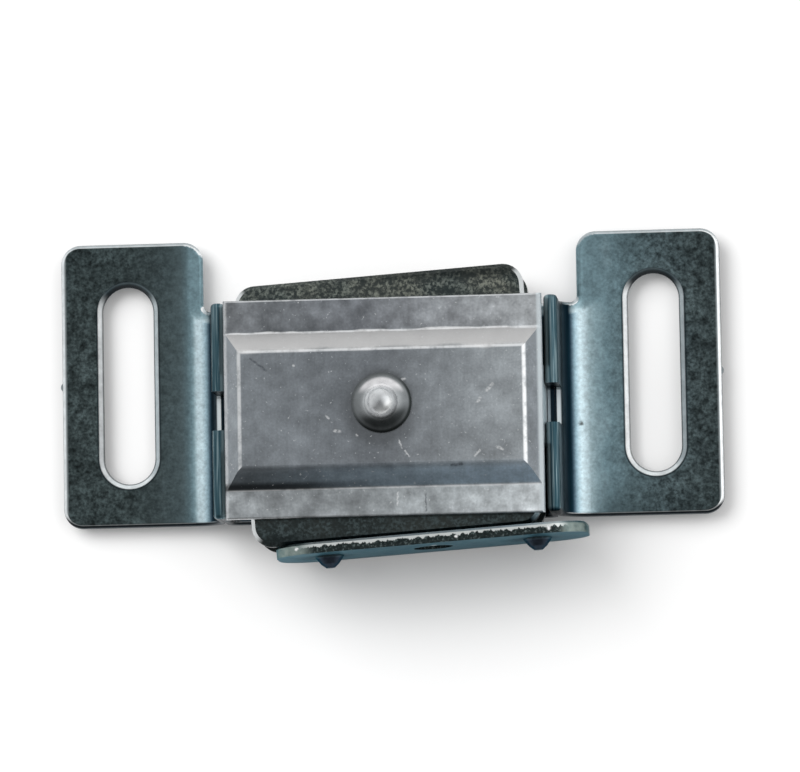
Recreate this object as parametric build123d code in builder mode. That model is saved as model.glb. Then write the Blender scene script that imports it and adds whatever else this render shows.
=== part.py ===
from build123d import *
import os

# Floating magnetic catch with its strike plate, in millimetres.
# X runs along the bracket, Y from the door side (-) to the cabinet side (+), Z up from the mounting face.
# The origin is on the mounting face, under the axis of the centre rivet.

# ---- driving dimensions ------------------------------------------------------------------------

# mounting bracket: one strip of steel, its two walls folded double
overall_length = 78.0
sheet = 0.78
body_setback = 2.65
wall_span = 40.6
wall_height = 9.8
fold_gap = 0.06
fold_crown_flat = 0.02
ear_bend = 3.0
floor_bend = 0.8
ear_reach = 8.4
ear_inner = 22.1
ear_corner = 2.3
relief_corner = 0.9
edge_roll = 0.5
nib_radius = 0.6
nib_reach = 0.2
nib_height = 0.45
slot_width = 6.0
slot_length = 23.4
slot_span = 62.2
slot_chamfer = 0.62
notch_width = 4.6
notch_depth = 5.4
notch_corner = 0.5

# clearances
wall_fit = 0.08
float_gap = 0.35
rivet_fit = 0.02
leg_clear = 0.3
lip_clear = 0.27
pivot_play = 0.65

# magnet unit: a ferrite block between two steel pole plates
pole_side_gap = 1.78
pole_depth = 30.6
pole_thickness = 1.6
pole_corner = 2.4
pole_edge = 0.45
magnet_height = 6.7
magnet_side_inset = 0.8
magnet_face_inset = 1.0
magnet_chamfer = 0.4
unit_float = 0.4
unit_swivel = 3.6

# magnet cover: one aluminium pressing
cover_sheet = 0.6
cover_overhang = 0.33
cover_back_gap = 0.08
cover_bend = 0.9
cover_edge = 0.25
panel_rise = 2.0
front_band = 3.43
back_band = 3.92
panel_round = 0.9
side_drop = 2.4
side_slope = 1.9
end_slope = 2.25
slope_foot = 0.5
leg_width = 9.0
leg_corner = 1.0

# centre rivet
rivet_shoulder = 2.4
rivet_neck = 1.6
rivet_tail = 2.15
flange_radius = 3.5
flange_rim = 0.2
flange_rise = 0.95
knob_foot = 1.95
knob_radius = 1.65
knob_height = 2.75
knob_crown = 1.1

# strike plate
strike_length = 36.4
strike_height = 12.4
strike_sheet = 1.3
strike_corner = 4.6
strike_roll = 0.25
strike_shift = 3.7
strike_lift = 0.1
strike_hole = 2.3
prong_inset = 6.0
prong_base = 1.75
prong_shoulder = 1.05
prong_tip = 0.5
shoulder_height = 0.9
prong_height = 1.35
dimple_wall = 0.5
dimple_tip = 0.65
dimple_depth = 1.2

# ---- sizes that follow from them ---------------------------------------------------------------

half_length = overall_length / 2
body_half = pole_depth / 2 - body_setback
wall_outer = wall_span / 2
wall_thickness = 2 * sheet + fold_gap
wall_inner = wall_outer - wall_thickness
fold_radius = (wall_thickness - fold_crown_flat) / 2
ear_back = body_half + ear_reach
slot_middle = (ear_back - body_half) / 2

pole_length = 2 * (wall_inner - pole_side_gap)
lower_pole_level = sheet + float_gap
magnet_level = lower_pole_level + pole_thickness
upper_pole_level = magnet_level + magnet_height
pole_top = upper_pole_level + pole_thickness
pivot_hole = rivet_shoulder + pivot_play

cover_half = wall_inner - wall_fit
cover_front = body_half + cover_overhang
cover_back = body_half - cover_back_gap
cover_depth = cover_front + cover_back
cover_middle = (cover_back - cover_front) / 2
cover_top = pole_top + float_gap + cover_sheet
panel_top = cover_top + panel_rise
panel_half = cover_half - side_slope
panel_front = cover_front - front_band - end_slope
panel_back = cover_back - back_band - end_slope
leg_bottom = sheet + floor_bend + leg_clear
lip_bottom = pole_top + lip_clear

# The magnet unit lies turned about the rivet and floated a little along its own length.
unit_turn = Plane.XY.rotated((0, 0, unit_swivel))
unit_plane = Plane(unit_turn.origin + unit_turn.x_dir * unit_float, unit_turn.x_dir, unit_turn.z_dir)


# ---- mounting bracket --------------------------------------------------------------------------

# The strip's upper side, from the ear over the folded wall to the middle of the floor.
upper_side = [
    (half_length, sheet),
    (wall_outer, sheet),
    (wall_outer, wall_height),
    (wall_inner, wall_height),
    (wall_inner, sheet),
    (0, sheet),
]
bend_radii = [ear_bend, fold_radius, fold_radius, floor_bend]

with BuildPart() as mounting_bracket:
    with BuildSketch(Plane.XZ) as strip_section:
        with BuildLine():
            FilletPolyline(upper_side, radius=bend_radii)
            offset(amount=sheet, side=Side.LEFT)
        make_face()
    extrude(amount=body_half)
    extrude(to_extrude=strip_section.sketch, amount=-ear_back)

    # behind the walls only the ear goes on
    with BuildSketch():
        with Locations((ear_inner / 2, (body_half + ear_back) / 2)):
            Rectangle(ear_inner, ear_back - body_half)
    extrude(amount=wall_height, mode=Mode.SUBTRACT)
    fillet(mounting_bracket.edges().filter_by(Axis.Z).group_by(Axis.X)[-1], radius=ear_corner)
    ear_tip = mounting_bracket.edges().filter_by(Axis.Z).sort_by_distance((ear_inner, ear_back))[0]
    fillet(ear_tip, radius=ear_corner)
    relief = mounting_bracket.edges().filter_by(Axis.Z).sort_by_distance((ear_inner, body_half))[0]
    fillet(relief, radius=relief_corner)

    # the sheared outline is rolled over on the strip's upper side, all along its tangent edges
    outer_edge = mounting_bracket.edges().filter_by(Axis.Y).sort_by_distance((half_length, 0, sheet))[0]
    fillet(outer_edge, radius=edge_roll)

    # screw slot in the ear
    with BuildSketch():
        with Locations((slot_span / 2, slot_middle)):
            SlotOverall(slot_length, slot_width, rotation=90)
    extrude(amount=sheet, mode=Mode.SUBTRACT)
    slot_side = (slot_span + slot_width) / 2
    slot_edge = mounting_bracket.edges().filter_by(Axis.Y).sort_by_distance((slot_side, 0, sheet))[0]
    chamfer(slot_edge, length=slot_chamfer)

    # nib where the blank was torn from its strip
    with Locations((half_length + nib_reach - nib_radius, slot_middle, nib_height / 2)):
        Cylinder(nib_radius, nib_height)

    # notch across the fold
    with BuildSketch(Plane.YZ.offset(wall_inner)):
        with Locations((0, wall_height)):
            RectangleRounded(notch_width, 2 * notch_depth, notch_corner)
    extrude(amount=wall_thickness, mode=Mode.SUBTRACT)

    mirror(about=Plane.YZ)

    # seat of the rivet's flush tail
    with Locations(Plane((0, 0, 0), z_dir=(0, 0, -1))):
        CounterSinkHole(rivet_neck + rivet_fit, rivet_tail + rivet_fit, sheet, 90)


# ---- magnet cover ------------------------------------------------------------------------------


def cover_form(skin):
    """All that lies under the cover's outer side, or under its inner side when skin is its sheet."""
    low = leg_bottom - 2 * skin
    front = -cover_front - 2 * skin
    back = cover_back + 2 * skin
    side_foot = panel_top - side_drop
    across = [
        (-cover_half, low),
        (-cover_half, side_foot),
        (-panel_half, panel_top),
        (panel_half, panel_top),
        (cover_half, side_foot),
        (cover_half, low),
    ]
    along = [
        (front, low),
        (front, cover_top),
        (-panel_front - end_slope, cover_top),
        (-panel_front, panel_top),
        (panel_back, panel_top),
        (panel_back + end_slope, cover_top),
        (back, cover_top),
        (back, low),
    ]
    with BuildPart() as form:
        with BuildSketch(Plane.XZ):
            with BuildLine():
                FilletPolyline(across, radius=[cover_bend, 0, 0, cover_bend])
                Line(across[-1], across[0])
            make_face()
            offset(amount=-skin)
        extrude(amount=cover_depth, both=True)
        with BuildSketch(Plane.YZ.offset(-cover_half)):
            with BuildLine():
                FilletPolyline(along, radius=[0, slope_foot, 0, 0, slope_foot, 0])
                Line(along[-1], along[0])
            make_face()
            offset(amount=-skin)
        extrude(amount=2 * cover_half, mode=Mode.INTERSECT)
        fillet(form.faces().sort_by(Axis.Z)[-1].edges(), radius=panel_round - skin)
    return form.part


cover_outside = cover_form(0)
cover_inside = cover_form(cover_sheet)

with BuildPart() as magnet_cover:
    add(cover_outside)
    add(cover_inside, mode=Mode.SUBTRACT)

    # each side reaches down beside the magnet unit only at its middle, as a leg
    with BuildSketch(Plane.XY.offset(leg_bottom)):
        with Locations((0, cover_middle)):
            Rectangle(2 * cover_half, cover_depth)
            Rectangle(2 * cover_half, leg_width, mode=Mode.SUBTRACT)
    extrude(amount=lip_bottom - leg_bottom, mode=Mode.SUBTRACT)
    fillet(magnet_cover.edges().filter_by(Axis.X).group_by(Axis.Z)[0], radius=leg_corner)

    # the long edges of the front and back bands are rolled over
    for band_end in (-cover_front, cover_back):
        band_edges = magnet_cover.edges().filter_by(Axis.X)
        fillet(band_edges.sort_by_distance((0, band_end, cover_top))[0], radius=cover_edge)

    # rivet hole
    with Locations((0, 0, panel_top)):
        Hole(rivet_neck + rivet_fit, cover_sheet)


# ---- centre rivet ------------------------------------------------------------------------------

tail_depth = rivet_tail - rivet_neck
knob_top = panel_top + knob_height
crown_radius = (knob_radius**2 + knob_crown**2) / (2 * knob_crown)

with BuildPart() as centre_rivet:
    with BuildSketch(Plane.XZ):
        with BuildLine():
            Polyline(
                (0, knob_top),
                (0, 0),
                (rivet_tail, 0),
                (rivet_neck, tail_depth),
                (rivet_neck, sheet),
                (rivet_shoulder, sheet),
                (rivet_shoulder, panel_top - cover_sheet),
                (rivet_neck, panel_top - cover_sheet),
                (rivet_neck, panel_top),
                (flange_radius, panel_top),
                (flange_radius, panel_top + flange_rim),
                (knob_foot, panel_top + flange_rise),
                (knob_radius, knob_top - knob_crown),
            )
            RadiusArc((knob_radius, knob_top - knob_crown), (0, knob_top), -crown_radius)
        make_face()
    revolve(axis=Axis.Z)


# ---- magnet unit -------------------------------------------------------------------------------


def pole_plate(level, outer_side):
    """One stamped pole plate, its edge broken on the side turned away from the magnet."""
    with BuildPart() as plate:
        with BuildSketch(unit_plane.offset(level)):
            RectangleRounded(pole_length, pole_depth, pole_corner)
            with Locations((-unit_float, 0)):
                Circle(pivot_hole, mode=Mode.SUBTRACT)
        extrude(amount=pole_thickness)
        outer_face = plate.faces().filter_by(Axis.Z).sort_by(Axis.Z)[outer_side]
        chamfer(outer_face.outer_wire().edges(), length=pole_edge)
    return plate


lower_pole_plate = pole_plate(lower_pole_level, 0)
upper_pole_plate = pole_plate(upper_pole_level, -1)

with BuildPart() as ferrite_magnet:
    with BuildSketch(unit_plane.offset(magnet_level)):
        Rectangle(pole_length - 2 * magnet_side_inset, pole_depth - 2 * magnet_face_inset)
        with Locations((-unit_float, 0)):
            Circle(pivot_hole, mode=Mode.SUBTRACT)
    extrude(amount=magnet_height)
    corners = ferrite_magnet.edges().filter_by(Axis.Z).filter_by(GeomType.LINE)
    chamfer(corners.sort_by(SortBy.DISTANCE)[-4:], length=magnet_chamfer)


# ---- strike plate ------------------------------------------------------------------------------
# It clings to the front edges of both pole plates; its own plane looks out to the door.

strike_middle = strike_lift + strike_height / 2
strike_centre = (unit_plane.origin + unit_plane.x_dir * strike_shift
                 - unit_plane.y_dir * pole_depth / 2 + Vector(0, 0, strike_middle))
strike_plane = Plane(strike_centre, unit_plane.x_dir, -unit_plane.y_dir)
prong_side = strike_length / 2 - prong_inset
prong_places = [(-prong_side, 0), (prong_side, 0)]

with BuildPart() as strike_plate:
    with BuildSketch(strike_plane):
        RectangleRounded(strike_length, strike_height, strike_corner)
        Circle(strike_hole, mode=Mode.SUBTRACT)
    extrude(amount=strike_sheet)
    magnet_face = strike_plate.faces().filter_by(GeomType.PLANE).sort_by_distance(strike_centre)[0]
    chamfer(magnet_face.outer_wire().edges(), length=strike_roll)

    # two pressed-out prongs with blunt tips that bite into the door, hollow from the magnet's side
    from_base = (Align.CENTER, Align.CENTER, Align.MIN)
    with Locations(strike_plane.offset(strike_sheet)):
        with Locations(*prong_places):
            Cone(prong_base, prong_shoulder, shoulder_height, align=from_base)
    with Locations(strike_plane.offset(strike_sheet + shoulder_height)):
        with Locations(*prong_places):
            Cone(prong_shoulder, prong_tip, prong_height - shoulder_height, align=from_base)
    with Locations(strike_plane):
        with Locations(*prong_places):
            Cone(prong_base - dimple_wall, dimple_tip, dimple_depth, align=from_base, mode=Mode.SUBTRACT)


# ---- one file per piece ------------------------------------------------------------------------

os.makedirs("parts", exist_ok=True)

mounting_bracket.part.label = "mounting_bracket"
export_step(mounting_bracket.part, "parts/mounting_bracket.step")
magnet_cover.part.label = "magnet_cover"
export_step(magnet_cover.part, "parts/magnet_cover.step")
centre_rivet.part.label = "centre_rivet"
export_step(centre_rivet.part, "parts/centre_rivet.step")
lower_pole_plate.part.label = "lower_pole_plate"
export_step(lower_pole_plate.part, "parts/lower_pole_plate.step")
ferrite_magnet.part.label = "ferrite_magnet"
export_step(ferrite_magnet.part, "parts/ferrite_magnet.step")
upper_pole_plate.part.label = "upper_pole_plate"
export_step(upper_pole_plate.part, "parts/upper_pole_plate.step")
strike_plate.part.label = "strike_plate"
export_step(strike_plate.part, "parts/strike_plate.step")
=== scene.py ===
import math

import bpy
from mathutils import Euler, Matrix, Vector


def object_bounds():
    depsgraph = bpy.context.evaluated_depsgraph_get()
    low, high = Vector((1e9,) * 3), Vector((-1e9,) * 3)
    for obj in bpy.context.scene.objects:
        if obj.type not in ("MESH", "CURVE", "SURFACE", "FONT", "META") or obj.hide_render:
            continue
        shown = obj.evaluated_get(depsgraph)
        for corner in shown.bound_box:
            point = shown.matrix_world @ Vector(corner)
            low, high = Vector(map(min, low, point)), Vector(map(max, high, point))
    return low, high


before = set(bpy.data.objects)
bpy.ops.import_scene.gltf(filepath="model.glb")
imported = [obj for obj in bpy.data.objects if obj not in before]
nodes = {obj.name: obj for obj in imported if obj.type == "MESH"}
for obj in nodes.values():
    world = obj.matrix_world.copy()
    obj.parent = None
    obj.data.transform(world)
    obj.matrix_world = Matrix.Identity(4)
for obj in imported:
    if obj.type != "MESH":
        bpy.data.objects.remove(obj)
cad_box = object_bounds()

MM = 0.001

# sizes of the catch that its finishes follow, in millimetres and radians
SHEET = 0.78
EAR_END = 39.0
WALL_OUTER = 20.3
BEND_END = WALL_OUTER + 3.0
FOLD_TOP = 9.8
NOTCH_WIDTH = 4.6
NOTCH_FOOT = FOLD_TOP - 5.4
SLOT_OUT = 31.1
SLOT_MIDDLE = 4.2
SLOT_WIDTH = 6.0
SLOT_STRAIGHT = 17.4
SLOT_RIM = 0.62
COVER_SIDE = 18.6
COVER_FRONT = -12.98
COVER_BACK = 12.57
COVER_MIDDLE = (COVER_FRONT + COVER_BACK) / 2
COVER_HALF_DEPTH = (COVER_BACK - COVER_FRONT) / 2
FRONT_BAND = 3.43
BACK_BAND = 3.92
END_SLOPE = 2.25
FRONT_SLOPE_FOOT = COVER_FRONT + FRONT_BAND
PANEL_FRONT = FRONT_SLOPE_FOOT + END_SLOPE
BACK_SLOPE_FOOT = COVER_BACK - BACK_BAND
PANEL_BACK = BACK_SLOPE_FOOT - END_SLOPE
FLANGE_RADIUS = 3.5
KNOB_RADIUS = 1.65
POLE_HALF_DEPTH = 15.3
UNIT_TURN = math.radians(3.6)
STRIKE_SHEET = 1.3
STRIKE_SHIFT = 3.7
STRIKE_MIDDLE = 6.3
STRIKE_HOLE_TOP = STRIKE_MIDDLE + 2.3
PRONG_SIDE = 12.2

# ---- camera ------------------------------------------------------------------------------------

CAMERA_PLACE = Vector((62.61, -75.55, 740.0)) * MM
CAMERA_TURN = Euler((0.1044, 0.0849, -0.0177), "XYZ")
CAMERA_LENS = 285.07
SENSOR_WIDTH = 36.0
CLIP_START = 0.01
CLIP_END = 20.0

camera_data = bpy.data.cameras.new("catch_camera")
camera_data.lens = CAMERA_LENS
camera_data.sensor_width = SENSOR_WIDTH
camera_data.clip_start = CLIP_START
camera_data.clip_end = CLIP_END
camera = bpy.data.objects.new("catch_camera", camera_data)
camera.location = CAMERA_PLACE
camera.rotation_euler = CAMERA_TURN
bpy.context.scene.collection.objects.link(camera)
bpy.context.scene.camera = camera


# ---- small helpers for node trees --------------------------------------------------------------
# Wherever a helper takes a value, it is a number, a colour or the output of a node.

MIX_SHARE, MIX_FIRST, MIX_SECOND = 0, 6, 7
MIX_RESULT = 2


def put(tree, kind, inputs=None, **settings):
    """A node with its settings and plain input values."""
    node = tree.nodes.new(kind)
    for name, value in settings.items():
        setattr(node, name, value)
    for name, value in (inputs or {}).items():
        node.inputs[name].default_value = value
    return node


def wire(tree, start, end):
    tree.links.new(start, end)


def feed(tree, value, socket):
    """Gives a socket a plain value or an output."""
    if isinstance(value, (int, float, tuple)):
        socket.default_value = value
    else:
        wire(tree, value, socket)


def maths(tree, operation, *values, clamp=False):
    """One Math node."""
    node = put(tree, "ShaderNodeMath", operation=operation, use_clamp=clamp)
    for value, socket in zip(values, node.inputs):
        feed(tree, value, socket)
    return node.outputs[0]


def chain(tree, operation, values):
    """Any number of values joined by one operation."""
    result = values[0]
    for value in values[1:]:
        result = maths(tree, operation, result, value)
    return result


def total(tree, *values):
    return chain(tree, "ADD", values)


def product(tree, *values):
    return chain(tree, "MULTIPLY", values)


def largest(tree, *values):
    return chain(tree, "MAXIMUM", values)


def minus(tree, first, second):
    return maths(tree, "SUBTRACT", first, second)


def absolute(tree, value):
    return maths(tree, "ABSOLUTE", value)


def ring_distance(tree, x, y):
    """Distance from an axis, worked out from the two offsets from it."""
    return maths(tree, "SQRT", total(tree, product(tree, x, x), product(tree, y, y)))


def spread(tree, value, low, high, to_low=0.0, to_high=1.0, smooth=True):
    """Maps a value from one range to another, held at both ends."""
    kind = "SMOOTHSTEP" if smooth else "LINEAR"
    node = put(tree, "ShaderNodeMapRange", interpolation_type=kind)
    feed(tree, value, node.inputs["Value"])
    node.inputs["From Min"].default_value = low
    node.inputs["From Max"].default_value = high
    node.inputs["To Min"].default_value = to_low
    node.inputs["To Max"].default_value = to_high
    return node.outputs["Result"]


def band(tree, value, low, rise, fall, high):
    """1 between rise and fall, fading to 0 at low and at high."""
    return product(tree, spread(tree, value, low, rise), spread(tree, value, fall, high, 1.0, 0.0))


def softened(tree, value, share):
    """A value about 0.5 with its swing cut down to a share of what it was."""
    return total(tree, 0.5, product(tree, minus(tree, value, 0.5), share))


def parts_of(tree, vector):
    """The X, Y and Z outputs of a vector."""
    split = put(tree, "ShaderNodeSeparateXYZ")
    wire(tree, vector, split.inputs[0])
    return split.outputs[0], split.outputs[1], split.outputs[2]


def combined(tree, x, y, z):
    """A vector of three values."""
    node = put(tree, "ShaderNodeCombineXYZ")
    for value, socket in zip((x, y, z), node.inputs):
        feed(tree, value, socket)
    return node.outputs[0]


def turned(tree, vector, angle):
    """A vector turned about Z."""
    node = put(tree, "ShaderNodeVectorRotate", rotation_type="Z_AXIS")
    wire(tree, vector, node.inputs["Vector"])
    feed(tree, angle, node.inputs["Angle"])
    return node.outputs["Vector"]


def grey(level):
    return (level, level, level, 1.0)


def colour(red, green, blue):
    """A display colour, 0 to 255, as the linear colour that Blender stores."""
    linear = []
    for part in (red, green, blue):
        share = part / 255
        linear.append(share / 12.92 if share <= 0.04045 else ((share + 0.055) / 1.055) ** 2.4)
    return (*linear, 1.0)


def blend_colour(tree, share, first, second, how="MIX"):
    """Mixes two colours by a share."""
    node = put(tree, "ShaderNodeMix", data_type="RGBA", blend_type=how)
    for slot, value in ((MIX_SHARE, share), (MIX_FIRST, first), (MIX_SECOND, second)):
        feed(tree, value, node.inputs[slot])
    return node.outputs[MIX_RESULT]


def shades(tree, value, *stops):
    """A run of colours along a value; each stop is a level of the value and a colour."""
    node = put(tree, "ShaderNodeValToRGB")
    elements = node.color_ramp.elements
    low, high = stops[0][0], stops[-1][0]
    wire(tree, spread(tree, value, low, high, smooth=False), node.inputs["Fac"])
    while len(elements) < len(stops):
        elements.new(0.5)
    # places first, because the ramp keeps its elements in their order
    for element, stop in zip(elements, stops):
        element.position = (stop[0] - low) / (high - low)
    for element, stop in zip(elements, stops):
        element.color = stop[1]
    return node.outputs["Color"]


def shaded(tree, tint, *variations):
    """A colour made lighter and darker: each variation is a value about 0.5 and how far it goes."""
    level = 1.0
    for value, strength in variations:
        level = total(tree, level, product(tree, minus(tree, value, 0.5), 2 * strength))
    return blend_colour(tree, 1.0, tint, level, how="MULTIPLY")


# ---- shared effects ----------------------------------------------------------------------------
# Inside a finish every place is in millimetres, as in the drawing of the catch.

FLOAT = "NodeSocketFloat"
VECTOR = "NodeSocketVector"
NOISE_LOW = 0.3
NOISE_HIGH = 0.7
NICK_WOBBLE = 0.36


def new_group(name, inputs, outputs):
    """A shader node group with named sockets, and its two end nodes."""
    tree = bpy.data.node_groups.new(name, "ShaderNodeTree")
    for label, kind, default in inputs:
        socket = tree.interface.new_socket(label, in_out="INPUT", socket_type=kind)
        if default is not None:
            socket.default_value = default
    for label, kind in outputs:
        tree.interface.new_socket(label, in_out="OUTPUT", socket_type=kind)
    return tree, tree.nodes.new("NodeGroupInput"), tree.nodes.new("NodeGroupOutput")


def evened(tree, noise):
    """A noise output stretched so that it fills 0 to 1."""
    return spread(tree, noise, NOISE_LOW, NOISE_HIGH, smooth=False)


def build_grain():
    """The skin of plated or pressed metal: fine grain, blotches and wide clouds, and a height for bumps."""
    tree, start, end = new_group(
        "metal_grain",
        [("Place", VECTOR, None), ("Grain Size", FLOAT, 0.35), ("Blotch Size", FLOAT, 1.0),
         ("Cloud Size", FLOAT, 6.0)],
        [("Grain", FLOAT), ("Blotches", FLOAT), ("Clouds", FLOAT), ("Height", FLOAT)])
    layers = {}
    for name, size, detail in (("Grain", "Grain Size", 3.0), ("Blotches", "Blotch Size", 3.0),
                               ("Clouds", "Cloud Size", 2.0)):
        noise = put(tree, "ShaderNodeTexNoise", {"Detail": detail, "Roughness": 0.58})
        wire(tree, start.outputs["Place"], noise.inputs["Vector"])
        wire(tree, maths(tree, "DIVIDE", 1.0, start.outputs[size]), noise.inputs["Scale"])
        layers[name] = noise.outputs["Fac"]
        wire(tree, evened(tree, layers[name]), end.inputs[name])
    wire(tree, total(tree, layers["Grain"], layers["Blotches"]), end.inputs["Height"])
    return tree


def build_streaks():
    """Long soft streaks that run along Y once the place has been turned."""
    tree, start, end = new_group(
        "drawing_streaks",
        [("Place", VECTOR, None), ("Turn", FLOAT, 0.0), ("Width", FLOAT, 0.3), ("Length", FLOAT, 8.0)],
        [("Streaks", FLOAT)])
    across, along, up = parts_of(tree, turned(tree, start.outputs["Place"], start.outputs["Turn"]))
    stretched = combined(tree, maths(tree, "DIVIDE", across, start.outputs["Width"]),
                         maths(tree, "DIVIDE", along, start.outputs["Length"]),
                         maths(tree, "DIVIDE", up, start.outputs["Length"]))
    lines = put(tree, "ShaderNodeTexNoise", {"Scale": 1.0, "Detail": 2.0, "Roughness": 0.6})
    wire(tree, stretched, lines.inputs["Vector"])
    wire(tree, evened(tree, lines.outputs["Fac"]), end.inputs["Streaks"])
    return tree


def build_nick():
    """One nick or scratch: a short soft-edged stroke at a place, seen from above."""
    tree, start, end = new_group(
        "nick",
        [("Place", VECTOR, None), ("X", FLOAT, 0.0), ("Y", FLOAT, 0.0), ("Turn", FLOAT, 0.0),
         ("Length", FLOAT, 1.0), ("Width", FLOAT, 0.2)],
        [("Mask", FLOAT)])
    x, y = parts_of(tree, start.outputs["Place"])[:2]
    offset = combined(tree, minus(tree, x, start.outputs["X"]), minus(tree, y, start.outputs["Y"]), 0.0)
    along, across = parts_of(tree, turned(tree, offset, product(tree, start.outputs["Turn"], -1.0)))[:2]
    half_length = product(tree, start.outputs["Length"], 0.5)
    beyond = largest(tree, minus(tree, absolute(tree, along), half_length), 0.0)
    share = maths(tree, "DIVIDE", ring_distance(tree, beyond, across), start.outputs["Width"])
    near = maths(tree, "SUBTRACT", 1.0, share, clamp=True)
    wire(tree, spread(tree, near, 0.0, 0.9), end.inputs["Mask"])
    return tree


GRAIN = build_grain()
STREAKS = build_streaks()
NICK = build_nick()


def use_group(tree, group, place, **values):
    """A shared effect placed in a finish with its own values; Grain_Size is written for Grain Size."""
    node = put(tree, "ShaderNodeGroup", node_tree=group)
    wire(tree, place, node.inputs["Place"])
    for name, value in values.items():
        node.inputs[name.replace("_", " ")].default_value = value
    return node.outputs


class Finish:
    """A finish while it is made: its surface, its tint so far, and the place and lean of each point."""

    def __init__(self, name, roughness, metallic=1.0):
        self.material = bpy.data.materials.new(name)
        self.material.use_nodes = True
        self.tree = self.material.node_tree
        self.tree.nodes.clear()
        output = put(self.tree, "ShaderNodeOutputMaterial")
        self.surface = put(self.tree, "ShaderNodeBsdfPrincipled",
                           {"Metallic": metallic, "Roughness": roughness})
        wire(self.tree, self.surface.outputs[0], output.inputs["Surface"])
        coordinates = put(self.tree, "ShaderNodeTexCoord")
        scale = put(self.tree, "ShaderNodeVectorMath", operation="SCALE")
        wire(self.tree, coordinates.outputs["Object"], scale.inputs[0])
        scale.inputs["Scale"].default_value = 1 / MM
        self.place = scale.outputs[0]
        self.normal = coordinates.outputs["Normal"]
        self.x, self.y, self.z = parts_of(self.tree, self.place)
        self.lean_x, self.lean_y, self.lean_up = parts_of(self.tree, self.normal)
        self.across = absolute(self.tree, self.x)
        self.tint = None

    def grain(self, grain_size, blotch_size, cloud_size):
        return use_group(self.tree, GRAIN, self.place, Grain_Size=grain_size, Blotch_Size=blotch_size,
                         Cloud_Size=cloud_size)

    def streaks(self, turn, width, length):
        streaks = use_group(self.tree, STREAKS, self.place, Turn=turn, Width=width, Length=length)
        return streaks["Streaks"]

    def nicks(self, *strokes):
        """A mask of ragged nicks, each x, y, turn in degrees, length and width."""
        wobble = put(self.tree, "ShaderNodeTexNoise", {"Scale": 2.6, "Detail": 2.0})
        wire(self.tree, self.place, wobble.inputs["Vector"])
        ragged = put(self.tree, "ShaderNodeVectorMath", operation="MULTIPLY_ADD")
        wire(self.tree, wobble.outputs["Color"], ragged.inputs[0])
        ragged.inputs[1].default_value = (NICK_WOBBLE, NICK_WOBBLE, NICK_WOBBLE)
        wire(self.tree, self.place, ragged.inputs[2])
        # the noise lies about 0.5, so it moves each place by half of the wobble
        shift = NICK_WOBBLE / 2
        masks = []
        for x, y, turn, length, width in strokes:
            stroke = use_group(self.tree, NICK, ragged.outputs[0], X=x + shift, Y=y + shift,
                               Turn=math.radians(turn), Length=length, Width=width)
            masks.append(stroke["Mask"])
        return largest(self.tree, *masks)

    def lay(self, share, tint):
        """Lays a colour over the tint so far."""
        self.tint = blend_colour(self.tree, share, self.tint, tint)

    def vary(self, *variations):
        """Makes the tint so far lighter and darker."""
        self.tint = shaded(self.tree, self.tint, *variations)

    def metallic(self, dull, least):
        """Takes the metal's shine down to its least where the mask is 1."""
        level = spread(self.tree, dull, 0.0, 1.0, 1.0, least, smooth=False)
        wire(self.tree, level, self.surface.inputs["Metallic"])

    def roughness(self, value, smooth_end, rough_end):
        level = spread(self.tree, value, 0.0, 1.0, smooth_end, rough_end, smooth=False)
        wire(self.tree, level, self.surface.inputs["Roughness"])

    def bump(self, height, distance, strength):
        """A bump of so many millimetres for a height of 1."""
        node = put(self.tree, "ShaderNodeBump", {"Strength": strength, "Distance": distance * MM})
        wire(self.tree, height, node.inputs["Height"])
        wire(self.tree, node.outputs["Normal"], self.surface.inputs["Normal"])

    def done(self):
        wire(self.tree, self.tint, self.surface.inputs["Base Color"])
        return self.material


# ---- mounting bracket: zinc-plated strip -------------------------------------------------------


def bracket_flats(finish, grain):
    """Ears and bends: a painted highlight along each bend, darker and more mottled towards the ear's end."""
    tree, across, y = finish.tree, finish.across, finish.y
    wander = product(tree, minus(tree, grain["Clouds"], 0.5),
                     spread(tree, across, BEND_END + 0.1, BEND_END + 2.7, 0.0, 2.4))
    sooner_on_left = product(tree, spread(tree, finish.x, 0.0, -1.0),
                             spread(tree, across, BEND_END - 0.4, BEND_END + 2.1, 0.0, 8.0))
    behind_wall = spread(tree, y, 4.0, 13.6, 0.0, BEND_END + 2.3)
    out_along_ear = total(tree, largest(tree, total(tree, across, sooner_on_left), behind_wall), wander)
    # painted highlight: pale along each bend, fading darker out along the ear
    finish.tint = shades(
        tree, out_along_ear,
        (20.8, colour(50, 74, 88)), (21.3, colour(84, 110, 128)), (21.75, colour(146, 174, 186)),
        (22.4, colour(192, 213, 220)), (23.0, colour(190, 211, 218)), (23.5, colour(166, 190, 197)),
        (24.2, colour(138, 163, 171)), (25.4, colour(112, 137, 145)), (28.0, colour(92, 112, 118)),
        (31.5, colour(82, 97, 101)), (35.5, colour(66, 77, 79)), (EAR_END, colour(60, 70, 71)))

    darker_front = product(tree, spread(tree, y, -7.0, -12.5, 0.0, 0.55),
                           spread(tree, finish.x, -1.0, 1.0, 0.25, 1.0))
    darker_ends = largest(tree, darker_front, spread(tree, y, 13.0, 20.0, 0.0, 0.26))
    past_bend = spread(tree, across, BEND_END - 0.8, BEND_END + 2.7)
    finish.lay(product(tree, darker_ends, past_bend), colour(48, 58, 60))
    mottled = spread(tree, across, BEND_END + 0.7, BEND_END + 10.7, 0.28, 1.0)
    for name, strength in (("Grain", 0.56), ("Blotches", 0.62), ("Clouds", 0.26)):
        finish.vary((softened(tree, grain[name], mottled), strength))


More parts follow.
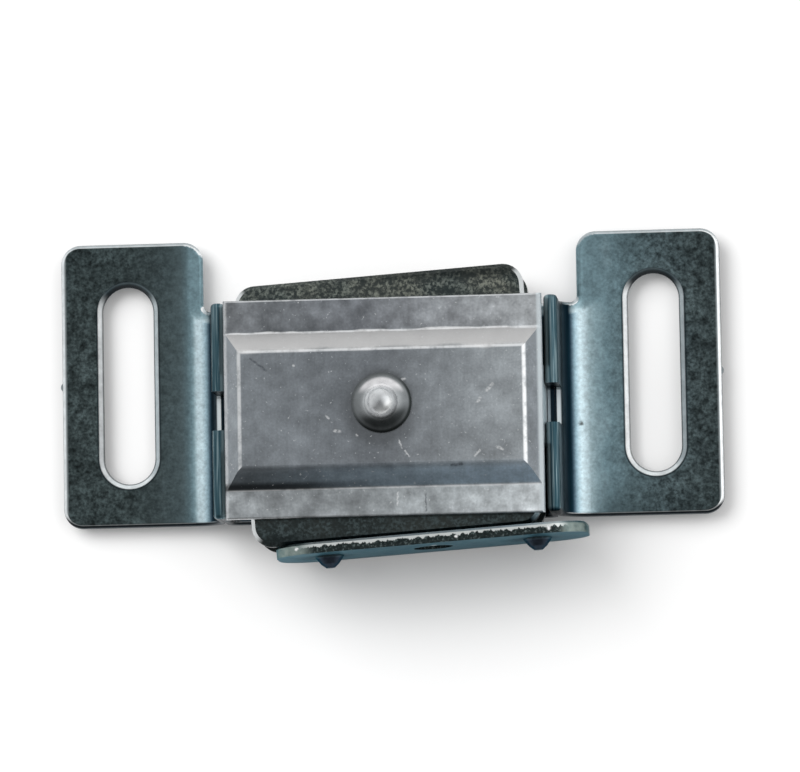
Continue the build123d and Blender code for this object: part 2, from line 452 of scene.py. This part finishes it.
def bracket_folds(finish):
    """Walls and folds: painted dark shade on the walls, lighter streaked crests, and a painted reflection
    lighter on each fold's inner side. Gives the mask of each fold's inner side.
    """
    tree = finish.tree
    streaks = finish.streaks(0.0, 0.2, 9.0)
    crest = spread(tree, finish.z, FOLD_TOP - 0.9, FOLD_TOP - 0.3)
    # painted shade: the walls are painted dark, the crests lighter with pale streaks
    wall_shade = shades(tree, streaks, (0.0, colour(2, 24, 36)), (1.0, colour(18, 46, 58)))
    crest_shade = shades(tree, streaks, (0.0, colour(34, 60, 70)), (0.5, colour(60, 86, 95)),
                         (1.0, colour(128, 148, 154)))
    above_sheet = spread(tree, finish.z, SHEET + 0.24, SHEET + 1.02)
    finish.lay(above_sheet, blend_colour(tree, crest, wall_shade, crest_shade))
    lean_out = product(tree, finish.lean_x, maths(tree, "SIGN", finish.x))
    inner_crest = product(tree, crest, spread(tree, lean_out, -0.2, -0.6))
    # painted reflection: the inner side of each fold's crest is painted lighter
    finish.lay(product(tree, inner_crest, 0.8), colour(116, 134, 139))
    return inner_crest


def slot_distance(finish):
    """How far beyond the wall of its slot a point of an ear lies."""
    tree = finish.tree
    beside = minus(tree, finish.across, SLOT_OUT)
    past = minus(tree, absolute(tree, minus(tree, finish.y, SLOT_MIDDLE)), SLOT_STRAIGHT / 2)
    return minus(tree, ring_distance(tree, beside, largest(tree, past, 0.0)), SLOT_WIDTH / 2)


def bracket_rims(finish, grain, beyond_slot):
    """Rolled outline and broken slot rims, painted lit or shaded by the side each faces. Gives the mask of
    all rims.
    """
    tree, across = finish.tree, finish.across
    side_lean = product(tree, absolute(tree, finish.lean_x),
                        spread(tree, across, BEND_END + 1.0, BEND_END + 1.5))
    lean = largest(tree, side_lean, absolute(tree, finish.lean_y))
    rim = spread(tree, lean, 0.14, 0.34)

    # each rim is painted lit or shaded by the side it faces: painted highlights facing right and back,
    # painted shade facing front, darker on steep cut faces
    lit_facing_in = shades(tree, across, (36.0, colour(162, 172, 176)), (37.0, colour(184, 192, 195)),
                       (38.2, colour(220, 225, 227)))
    highlight_facing_out = colour(238, 241, 242)
    highlight_facing_back = shades(tree, finish.y, (0.0, colour(206, 212, 214)), (19.0, colour(170, 178, 181)))
    shade_facing_front = shades(tree, beyond_slot, (0.2, colour(32, 38, 42)), (0.34, colour(44, 53, 57)),
                          (0.5, colour(84, 99, 104)), (0.66, colour(34, 40, 44)))
    cut_edge = colour(72, 80, 84)
    tint = blend_colour(tree, spread(tree, finish.lean_x, -0.1, 0.1), lit_facing_in, highlight_facing_out)
    tint = blend_colour(tree, spread(tree, finish.lean_y, 0.3, 0.6), tint, highlight_facing_back)
    tint = blend_colour(tree, spread(tree, finish.lean_y, -0.15, -0.5), tint, shade_facing_front)
    tint = blend_colour(tree, spread(tree, lean, 0.78, 0.9, 0.0, 0.8), tint, cut_edge)
    tint = shaded(tree, tint, (grain["Blotches"], 0.14))

    # painted highlight beside each ear's outer end
    highlight_beside_edge = product(tree, spread(tree, across, EAR_END - 0.7, EAR_END - 0.35, 0.0, 0.75),
                          spread(tree, finish.lean_up, 0.5, 0.9))
    finish.lay(highlight_beside_edge, colour(176, 184, 187))
    finish.lay(product(tree, rim, spread(tree, finish.z, 1.5, 3.0, 1.0, 0.0)), tint)
    return rim


def bracket_outlines(finish, beyond_slot):
    """Painted shade lines along both edges of each slot's rim."""
    tree = finish.tree
    # painted shade at the crease on each side of the slot's rim
    outer_shade_line = band(tree, beyond_slot, SLOT_RIM - 0.12, SLOT_RIM, SLOT_RIM + 0.1, SLOT_RIM + 0.24)
    outer_shade_line = product(tree, outer_shade_line, spread(tree, finish.y, 12.5, 15.0, 1.0, 0.2))
    inner_shade_line = band(tree, beyond_slot, -0.1, 0.0, 0.08, 0.2)
    finish.lay(product(tree, largest(tree, outer_shade_line, inner_shade_line), 0.75), colour(34, 42, 46))


def bracket_cuts(finish):
    """The foot of each notch, with the edges of its two layers bright, and the torn nibs."""
    tree, across = finish.tree, finish.across
    at_foot = band(tree, finish.z, NOTCH_FOOT - 0.3, NOTCH_FOOT - 0.1, NOTCH_FOOT + 0.2, NOTCH_FOOT + 0.4)
    in_notch = spread(tree, absolute(tree, finish.y), NOTCH_WIDTH / 2 + 0.3, NOTCH_WIDTH / 2 + 0.1)
    two_layers = shades(
        tree, across, (18.6, colour(24, 38, 46)), (18.7, colour(150, 160, 166)),
        (18.95, colour(140, 152, 158)), (19.05, colour(22, 36, 44)), (19.7, colour(22, 36, 44)),
        (19.8, colour(222, 230, 232)), (20.15, colour(214, 224, 227)), (WALL_OUTER, colour(40, 54, 62)))
    finish.lay(product(tree, at_foot, in_notch), two_layers)
    torn_nib = spread(tree, across, EAR_END - 0.02, EAR_END + 0.03)
    finish.lay(torn_nib, colour(140, 148, 151))


def zinc_plated_bracket():
    """Blue-grey zinc on folded strip: a painted highlight on the bends, painted dark shade on the folds,
    darker towards the ears' ends.
    """
    finish = Finish("zinc_plated_bracket", 0.34)
    tree = finish.tree
    grain = finish.grain(0.34, 0.95, 5.0)
    beyond_slot = slot_distance(finish)
    bracket_flats(finish, grain)
    inner_crest = bracket_folds(finish)
    rim = bracket_rims(finish, grain, beyond_slot)
    bracket_outlines(finish, beyond_slot)
    bracket_cuts(finish)
    pit = finish.nicks((22.36, -1.7, 0.0, 0.1, 0.4))
    finish.lay(product(tree, pit, 0.85), colour(52, 50, 46))

    slot_rim = product(tree, band(tree, beyond_slot, -0.2, 0.0, SLOT_RIM - 0.02, SLOT_RIM + 0.13), rim)
    finish.metallic(largest(tree, slot_rim, inner_crest), 0.4)
    finish.roughness(grain["Blotches"], 0.3, 0.42)
    finish.bump(minus(tree, grain["Height"], pit), 0.02, 0.25)
    return finish.done()


# ---- magnet cover: pressed aluminium -----------------------------------------------------------


def cover_faces(finish, drawn_y):
    """Each face of the cover in its own run of greys, painted for the light it catches: panel, slopes, bands
    and sides.
    """
    tree, x, y = finish.tree, finish.x, finish.y
    # painted light: the faces are lighter towards the right, the front slope is painted dark as a reflection
    # and the back slope pale as a highlight
    finish.tint = shades(tree, x, (-17.0, colour(130, 136, 141)), (-1.0, colour(115, 120, 125)),
                         (17.0, colour(158, 164, 168)))
    front_slope = shades(tree, x, (-17.0, colour(100, 107, 112)), (-11.0, colour(106, 116, 123)),
                         (-4.0, colour(138, 152, 163)), (4.0, colour(154, 171, 184)),
                         (17.0, colour(168, 188, 204)))
    front_band = shades(tree, x, (-18.0, colour(154, 159, 162)), (-8.0, colour(144, 149, 152)),
                        (6.0, colour(165, 171, 174)), (18.0, colour(194, 200, 203)))
    back_slope = colour(191, 191, 191)
    back_band = shades(tree, x, (-18.0, colour(129, 133, 137)), (-12.0, colour(108, 112, 116)),
                       (-3.0, colour(116, 120, 125)), (8.0, colour(146, 150, 154)),
                       (18.0, colour(172, 176, 179)))
    sides = colour(139, 145, 150)
    finish.lay(spread(tree, y, PANEL_FRONT + 0.6, PANEL_FRONT - 0.7), front_slope)
    finish.lay(spread(tree, y, FRONT_SLOPE_FOOT + 0.25, FRONT_SLOPE_FOOT - 0.15), front_band)
    finish.lay(spread(tree, drawn_y, PANEL_BACK - 0.4, PANEL_BACK + 0.3), back_slope)
    finish.lay(spread(tree, drawn_y, BACK_SLOPE_FOOT - 0.25, BACK_SLOPE_FOOT + 0.15), back_band)
    finish.lay(spread(tree, absolute(tree, finish.lean_x), 0.35, 0.6), sides)


def cover_mottling(finish, grain, worn):
    """Clouds and blotches of handling, strongest on the two bands and faint on the back slope."""
    tree, y = finish.tree, finish.y
    on_bands = largest(tree, spread(tree, y, BACK_SLOPE_FOOT - 0.15, BACK_SLOPE_FOOT + 0.35),
                       spread(tree, y, FRONT_SLOPE_FOOT + 0.15, FRONT_SLOPE_FOOT - 0.25))
    finish.vary((softened(tree, worn["Blotches"], on_bands), 0.22),
                (softened(tree, worn["Clouds"], on_bands), 0.16))
    on_slope = band(tree, y, PANEL_BACK - 0.1, PANEL_BACK + 0.5,
                    BACK_SLOPE_FOOT - 0.35, BACK_SLOPE_FOOT + 0.05)
    quiet = spread(tree, on_slope, 0.0, 1.0, 1.0, 0.15)
    streaks = finish.streaks(0.03, 0.3, 4.5)
    for value, strength in ((grain["Clouds"], 0.14), (worn["Blotches"], 0.16), (grain["Blotches"], 0.1),
                            (grain["Grain"], 0.1), (streaks, 0.04)):
        finish.vary((softened(tree, value, quiet), strength))
    return streaks


def cover_edges(finish, grain, drawn_y):
    """Ridges, rims and feet of the slopes worn bright and painted as highlights, and painted shade along the
    front slope's foot.
    """
    tree, x, y = finish.tree, finish.x, finish.y
    # the ridges, rims and feet are partly wear and partly painted highlights; the side ridges are brighter on
    # the right
    side_ridge = product(tree, band(tree, absolute(tree, finish.lean_x), 0.08, 0.25, 0.5, 0.68),
                         spread(tree, finish.across, COVER_SIDE - 3.0, COVER_SIDE - 2.5),
                         spread(tree, x, -1.0, 1.0, 0.6, 0.9))
    back_ridge = product(tree, band(tree, finish.lean_y, 0.12, 0.25, 0.4, 0.55),
                         spread(tree, y, PANEL_BACK - 1.0, PANEL_BACK - 0.5))
    from_middle = absolute(tree, minus(tree, y, COVER_MIDDLE))
    rims = product(tree, spread(tree, absolute(tree, finish.lean_y), 0.25, 0.6),
                   spread(tree, from_middle, COVER_HALF_DEPTH - 0.475, COVER_HALF_DEPTH - 0.225))
    left_edge = spread(tree, x, 0.6 - COVER_SIDE, 0.3 - COVER_SIDE)
    back_foot = band(tree, drawn_y, BACK_SLOPE_FOOT - 0.17, BACK_SLOPE_FOOT - 0.07,
                     BACK_SLOPE_FOOT + 0.01, BACK_SLOPE_FOOT + 0.13)
    front_foot = band(tree, y, FRONT_SLOPE_FOOT - 0.25, FRONT_SLOPE_FOOT - 0.13,
                      FRONT_SLOPE_FOOT - 0.07, FRONT_SLOPE_FOOT + 0.05)
    foot_lines = largest(tree, back_foot, front_foot)
    edges = largest(tree, side_ridge, product(tree, back_ridge, 0.6), product(tree, rims, 0.35),
                    product(tree, left_edge, 0.4), product(tree, foot_lines, 0.6))
    patchy = spread(tree, grain["Blotches"], 0.0, 0.7, 0.4, 1.0)
    finish.lay(product(tree, edges, patchy), colour(240, 242, 243))
    # painted highlight along the cover's right edge
    finish.lay(spread(tree, x, COVER_SIDE - 0.75, COVER_SIDE - 0.4, 0.0, 0.85), colour(206, 215, 219))
    # painted shade at the foot of the front slope, deepest on the left
    painted_shade_foot = product(tree, band(tree, y, FRONT_SLOPE_FOOT - 0.35, FRONT_SLOPE_FOOT + 0.05,
                                    FRONT_SLOPE_FOOT + 0.35, FRONT_SLOPE_FOOT + 0.95),
                         spread(tree, x, 2.0, -12.0))
    finish.lay(product(tree, painted_shade_foot, 0.8), colour(28, 30, 32))


def cover_marks(finish, grain, worn):
    """Painted shade round the rivet, dark scratches, bright nicks and flecks. Gives the mask of the
    scratches.
    """
    tree, x, y = finish.tree, finish.x, finish.y
    # painted shade round the rivet, reaching further in front of it
    from_rivet = ring_distance(tree, x, y)
    from_below_rivet = ring_distance(tree, total(tree, x, 0.2), total(tree, y, 0.7))
    shade_round_rivet = largest(tree, spread(tree, from_rivet, FLANGE_RADIUS - 0.1, FLANGE_RADIUS + 0.8, 0.5, 0.0),
                   spread(tree, from_below_rivet, FLANGE_RADIUS - 0.2, FLANGE_RADIUS + 1.9, 0.5, 0.0))
    finish.lay(shade_round_rivet, colour(70, 72, 74))
    bright = finish.nicks(
        (12.55, 1.5, 47.0, 1.0, 0.3), (11.3, 0.05, 50.0, 0.5, 0.28), (-5.2, -3.2, -10.0, 0.5, 0.28),
        (-2.9, -3.7, -40.0, 0.25, 0.2), (2.1, -4.9, -68.0, 1.0, 0.14), (2.9, -6.0, -50.0, 0.8, 0.14),
        (11.0, -6.1, 45.0, 0.8, 0.22), (1.5, -11.0, 88.0, 1.6, 0.16), (-6.3, -1.5, -35.0, 0.5, 0.16),
        (2.6, 2.7, 20.0, 0.3, 0.25), (13.6, -5.6, -25.0, 0.8, 0.2), (-10.2, 4.6, 0.0, 0.1, 0.2))
    dark = finish.nicks(
        (-14.3, 4.8, -38.0, 2.4, 0.2), (4.8, -11.5, 90.0, 2.0, 0.14), (8.6, -7.4, 5.0, 1.2, 0.25))
    uneven = spread(tree, grain["Grain"], 0.0, 0.7, 0.1, 0.62)
    finish.lay(product(tree, dark, uneven), colour(62, 66, 72))
    finish.lay(product(tree, bright, uneven), colour(226, 228, 229))
    flecks = spread(tree, product(tree, worn["Grain"], grain["Grain"]), 0.62, 0.8, 0.0, 0.6)
    finish.lay(flecks, colour(214, 217, 218))
    return dark


def pressed_aluminium():
    """Grey pressed aluminium: handling marks on the panel, faces painted for the light they catch, bright
    ridges worn and painted as highlights, streaks where it was drawn.
    """
    finish = Finish("pressed_aluminium", 0.38)
    tree = finish.tree
    grain = finish.grain(0.28, 1.3, 5.5)
    worn = finish.grain(0.5, 2.4, 9.0)
    # the long edges of the back slope wander a little
    drawn_y = total(tree, finish.y, product(tree, minus(tree, grain["Clouds"], 0.5), 0.45))
    cover_faces(finish, drawn_y)
    streaks = cover_mottling(finish, grain, worn)
    cover_edges(finish, grain, drawn_y)
    scratches = cover_marks(finish, grain, worn)
    finish.roughness(grain["Blotches"], 0.34, 0.46)
    scratched = minus(tree, grain["Height"], product(tree, scratches, 1.5))
    finish.bump(total(tree, scratched, product(tree, streaks, 0.4)), 0.02, 0.22)
    return finish.done()


# ---- centre rivet: turned aluminium ------------------------------------------------------------

RIVET_RING_STEP = 0.22


def turned_aluminium():
    """Aluminium rivet: dull on its flange, a painted highlight on its knob and behind it, a painted shadow in
    front of the knob and painted shade at its edge.
    """
    finish = Finish("turned_aluminium", 0.3)
    tree, x, y = finish.tree, finish.x, finish.y
    outward = ring_distance(tree, x, y)
    to_front_right = minus(tree, x, y)
    grain = finish.grain(0.3, 0.8, 3.0)
    # the knob is painted lighter as a painted highlight, darker out to the flange's edge
    finish.tint = shades(
        tree, outward, (0.0, colour(158, 161, 163)), (0.5, colour(172, 175, 177)),
        (1.1, colour(204, 207, 209)), (1.7, colour(206, 209, 211)), (1.95, colour(150, 154, 156)),
        (2.5, colour(122, 126, 128)), (FLANGE_RADIUS, colour(98, 102, 104)))

    # painted shade at the flange's edge, painted highlight behind the knob, painted shadow in front of it and
    # a painted highlight on the knob
    painted_shade_edge = product(tree, spread(tree, outward, FLANGE_RADIUS - 0.4, FLANGE_RADIUS - 0.15),
                         spread(tree, to_front_right, -2.6, 2.0, 0.35, 1.0))
    pale_back = product(tree, spread(tree, y, 0.9, 2.1), band(tree, outward, 1.5, 1.9, 2.7, 3.1))
    dark_front = product(tree, spread(tree, minus(tree, y, product(tree, x, 0.2)), -0.4, -1.9),
                         spread(tree, outward, KNOB_RADIUS, KNOB_RADIUS + 0.3),
                         spread(tree, outward, 2.7, 3.2, 1.0, 0.6))
    knob_highlight = product(tree, spread(tree, to_front_right, 0.3, 1.5), band(tree, outward, 0.4, 0.9, 1.3, 1.7))
    finish.lay(painted_shade_edge, colour(44, 48, 48))
    finish.lay(pale_back, colour(206, 206, 208))
    finish.lay(product(tree, dark_front, 0.85), colour(34, 38, 38))
    finish.lay(product(tree, knob_highlight, 0.8), colour(240, 242, 242))
    finish.vary((grain["Blotches"], 0.12), (grain["Clouds"], 0.08))

    finish.metallic(band(tree, outward, KNOB_RADIUS - 0.35, KNOB_RADIUS - 0.05, 1.9, 2.3), 0.35)
    finish.roughness(grain["Blotches"], 0.24, 0.36)
    rings = maths(tree, "SINE", product(tree, outward, 2 * math.pi / RIVET_RING_STEP))
    finish.bump(total(tree, product(tree, rings, 0.3), grain["Height"]), 0.012, 0.1)
    return finish.done()


# ---- magnet unit: pole steel and ferrite -------------------------------------------------------


def oxidised_steel():
    """Nearly black pole steel, finely speckled with grey-green, its end edges worn bright and painted as
    highlights.
    """
    finish = Finish("oxidised_steel", 0.36)
    tree, y = finish.tree, finish.y
    grain = finish.grain(0.36, 0.9, 6.0)
    dark = blend_colour(tree, grain["Clouds"], colour(46, 54, 55), colour(64, 68, 66))
    light = blend_colour(tree, grain["Clouds"], colour(104, 114, 112), colour(138, 141, 130))
    light = blend_colour(tree, spread(tree, y, 2.0, -2.0), light, colour(88, 101, 103))
    specks = product(tree, spread(tree, grain["Grain"], 0.2, 0.9), spread(tree, grain["Blotches"], 0.0, 0.8))
    finish.tint = blend_colour(tree, specks, dark, light)
    long_edges = spread(tree, absolute(tree, y), POLE_HALF_DEPTH - 1.1, POLE_HALF_DEPTH, 0.0, 0.65)
    to_front = spread(tree, y, 0.0, -13.0, 0.0, 0.4)
    finish.lay(largest(tree, long_edges, to_front), colour(24, 28, 28))
    # end faces painted near white: partly wear, partly a painted highlight
    end_edges = product(tree, spread(tree, absolute(tree, finish.lean_x), 0.35, 0.6),
                        spread(tree, finish.lean_up, -0.2, 0.2))
    finish.lay(end_edges, colour(206, 210, 211))
    finish.roughness(grain["Blotches"], 0.32, 0.46)
    finish.bump(grain["Height"], 0.025, 0.3)
    return finish.done()


def ferrite():
    """Matte charcoal ferrite with a pressed, slightly gritty skin."""
    finish = Finish("ferrite", 0.6, metallic=0.0)
    grain = finish.grain(0.25, 1.0, 6.0)
    finish.tint = blend_colour(finish.tree, grain["Blotches"], colour(44, 44, 46), colour(62, 62, 64))
    finish.vary((grain["Grain"], 0.15), (grain["Clouds"], 0.1))
    finish.bump(grain["Height"], 0.04, 0.5)
    return finish.done()


# ---- strike plate: zinc-plated -----------------------------------------------------------------


def strike_face(finish, grain, along, height, depth):
    """Plated faces, dark on the prongs and in a soft halo round each."""
    tree = finish.tree
    finish.tint = blend_colour(tree, grain["Clouds"], colour(82, 108, 120), colour(108, 134, 142))
    beside = minus(tree, absolute(tree, minus(tree, along, STRIKE_SHIFT)), PRONG_SIDE)
    from_prong = ring_distance(tree, beside, minus(tree, height, STRIKE_MIDDLE))
    on_prong = spread(tree, depth, STRIKE_SHEET, STRIKE_SHEET + 0.3, 0.0, 0.95)
    halo = product(tree, spread(tree, from_prong, 4.2, 1.8, 0.0, 0.8),
                   spread(tree, depth, STRIKE_SHEET - 0.3, STRIKE_SHEET))
    finish.lay(largest(tree, on_prong, halo), colour(44, 48, 58))
    finish.vary((grain["Blotches"], 0.14), (grain["Grain"], 0.12))


def strike_rim(finish, grain, along, height, depth, lean_out):
    """The sheared rim: burnished beside the magnet, torn in teeth beyond, worn at the plate's ends.

    Gives the mask of the torn part.
    """
    tree = finish.tree
    rim = product(tree, spread(tree, absolute(tree, lean_out), 0.85, 0.6),
                  spread(tree, depth, STRIKE_SHEET + 0.02, STRIKE_SHEET + 0.12, 1.0, 0.0))
    teeth = put(tree, "ShaderNodeTexNoise", {"Scale": 2.0, "Detail": 3.0, "Roughness": 0.6})
    stretched = combined(tree, along, product(tree, depth, 0.35), product(tree, height, 0.6))
    wire(tree, stretched, teeth.inputs["Vector"])
    toothed_depth = total(tree, depth, product(tree, minus(tree, teeth.outputs["Fac"], 0.5), 1.15))
    torn = spread(tree, toothed_depth, 0.5, 0.58)
    torn_shade = shades(tree, grain["Grain"], (0.0, colour(30, 36, 37)), (0.6, colour(44, 52, 52)),
                        (1.0, colour(100, 112, 112)))
    middle_shade = blend_colour(tree, torn, colour(204, 209, 208), torn_shade)
    end_shade = blend_colour(tree, grain["Blotches"], colour(110, 125, 123), colour(144, 156, 151))
    middle = band(tree, along, -11.5, -9.0, 19.0, 20.5)
    finish.lay(rim, blend_colour(tree, middle, end_shade, middle_shade))
    return product(tree, rim, torn)


def zinc_plated_strike():
    """Blue-grey zinc on a stamped plate that is turned with the magnet unit."""
    finish = Finish("zinc_plated_strike", 0.32)
    finish.surface.inputs["Specular Tint"].default_value = colour(152, 180, 190)
    tree = finish.tree
    along, outward, height = parts_of(tree, turned(tree, finish.place, -UNIT_TURN))
    lean_out = parts_of(tree, turned(tree, finish.normal, -UNIT_TURN))[1]
    depth = minus(tree, -POLE_HALF_DEPTH, outward)
    grain = finish.grain(0.28, 0.8, 4.0)
    strike_face(finish, grain, along, height, depth)
    torn_rim = strike_rim(finish, grain, along, height, depth, lean_out)

    rim_glints = finish.nicks((-10.36, -16.6, 20.0, 0.1, 0.26), (8.24, -15.6, 0.0, 0.15, 0.22),
                              (19.0, -14.85, 60.0, 0.1, 0.32))
    over_hole = band(tree, height, STRIKE_HOLE_TOP - 0.1, STRIKE_HOLE_TOP + 0.1, STRIKE_HOLE_TOP + 0.7,
                     STRIKE_HOLE_TOP + 1.0)
    hole_glint = product(tree, finish.nicks((5.4, -16.3, 5.0, 0.2, 0.35)), over_hole)
    finish.lay(largest(tree, rim_glints, hole_glint), colour(244, 246, 246))
    finish.roughness(grain["Blotches"], 0.28, 0.42)
    finish.bump(minus(tree, grain["Height"], product(tree, torn_rim, 2.0)), 0.03, 0.35)
    return finish.done()


def dress(node, material):
    """Gives a CAD node its finish in every slot it has."""
    mesh = nodes[node].data
    if not mesh.materials:
        mesh.materials.append(material)
    for slot in nodes[node].material_slots:
        slot.material = material


pole_steel = oxidised_steel()
dress("mounting_bracket", zinc_plated_bracket())
dress("magnet_cover", pressed_aluminium())
dress("centre_rivet", turned_aluminium())
dress("lower_pole_plate", pole_steel)
dress("upper_pole_plate", pole_steel)
dress("ferrite_magnet", ferrite())
dress("strike_plate", zinc_plated_strike())


# ---- floor, world and light --------------------------------------------------------------------

FLOOR_HALF = 1.5
FLOOR_DROP = 1.8 * MM
FLOOR_LEVEL = 0.75
FLOOR_LIFT = 0.08
WORLD_LEVEL = 0.6


def pale_floor():
    """A matte pale grey that is lifted to white where the camera, metal or glass sees it."""
    material = bpy.data.materials.new("pale_floor")
    material.use_nodes = True
    tree = material.node_tree
    tree.nodes.clear()
    output = put(tree, "ShaderNodeOutputMaterial")
    matte = put(tree, "ShaderNodeBsdfDiffuse", {"Color": grey(FLOOR_LEVEL)})
    lift = put(tree, "ShaderNodeEmission", {"Color": grey(1.0), "Strength": FLOOR_LIFT})
    lifted = put(tree, "ShaderNodeAddShader")
    wire(tree, matte.outputs[0], lifted.inputs[0])
    wire(tree, lift.outputs[0], lifted.inputs[1])
    ray = put(tree, "ShaderNodeLightPath").outputs
    seen = largest(tree, ray["Is Glossy Ray"], ray["Is Transmission Ray"], ray["Is Camera Ray"])
    choice = put(tree, "ShaderNodeMixShader")
    wire(tree, seen, choice.inputs[0])
    wire(tree, matte.outputs[0], choice.inputs[1])
    wire(tree, lifted.outputs[0], choice.inputs[2])
    wire(tree, choice.outputs[0], output.inputs["Surface"])
    return material


def stage_floor():
    """A wide floor a little under the catch, so that the soft shadow falls beside it."""
    mesh = bpy.data.meshes.new("floor")
    corners = [(-FLOOR_HALF, -FLOOR_HALF, 0), (FLOOR_HALF, -FLOOR_HALF, 0),
               (FLOOR_HALF, FLOOR_HALF, 0), (-FLOOR_HALF, FLOOR_HALF, 0)]
    mesh.from_pydata(corners, [], [(0, 1, 2, 3)])
    mesh.materials.append(pale_floor())
    floor = bpy.data.objects.new("floor", mesh)
    floor.location.z = cad_box[0].z - FLOOR_DROP
    bpy.context.scene.collection.objects.link(floor)


def studio_world():
    """A pale studio: brighter behind and to the right, darker on the door's side."""
    world = bpy.data.worlds.new("studio")
    bpy.context.scene.world = world
    world.use_nodes = True
    tree = world.node_tree
    tree.nodes.clear()
    output = put(tree, "ShaderNodeOutputWorld")
    direction = put(tree, "ShaderNodeTexCoord").outputs["Generated"]

    def toward(aim, near, far, strength):
        """A soft patch of light round an aim, full at near and gone at far, both cosines."""
        nearness = put(tree, "ShaderNodeVectorMath", operation="DOT_PRODUCT")
        wire(tree, direction, nearness.inputs[0])
        nearness.inputs[1].default_value = Vector(aim).normalized()
        return spread(tree, nearness.outputs["Value"], far, near, 0.0, strength)

    back = toward((0, 1, 0.7), 0.95, 0.4, 0.45)
    right = toward((1, 0.1, 0.9), 0.96, 0.72, 0.8)
    left = toward((-1, 0.1, 0.8), 0.97, 0.7, 0.3)
    dark_front = toward((0, -1, 0.25), 0.9, 0.1, 0.3)
    level = minus(tree, total(tree, WORLD_LEVEL, back, right, left), dark_front)
    studio = put(tree, "ShaderNodeBackground", {"Color": grey(1.0)})
    wire(tree, level, studio.inputs["Strength"])
    wire(tree, studio.outputs[0], output.inputs["Surface"])


def softbox(name, place, size, power):
    """A square lamp that faces the catch; the metal mirrors the studio and not the lamp."""
    lamp = bpy.data.lights.new(name, "AREA")
    lamp.shape = "SQUARE"
    lamp.size = size
    lamp.energy = power
    holder = bpy.data.objects.new(name, lamp)
    holder.location = place
    holder.rotation_euler = (-Vector(place)).to_track_quat("-Z", "Y").to_euler()
    holder.visible_glossy = False
    bpy.context.scene.collection.objects.link(holder)


stage_floor()
studio_world()
softbox("key_light", (-0.52, 0.38, 0.78), 0.75, 8.1)

bpy.context.scene.view_settings.view_transform = "Standard"
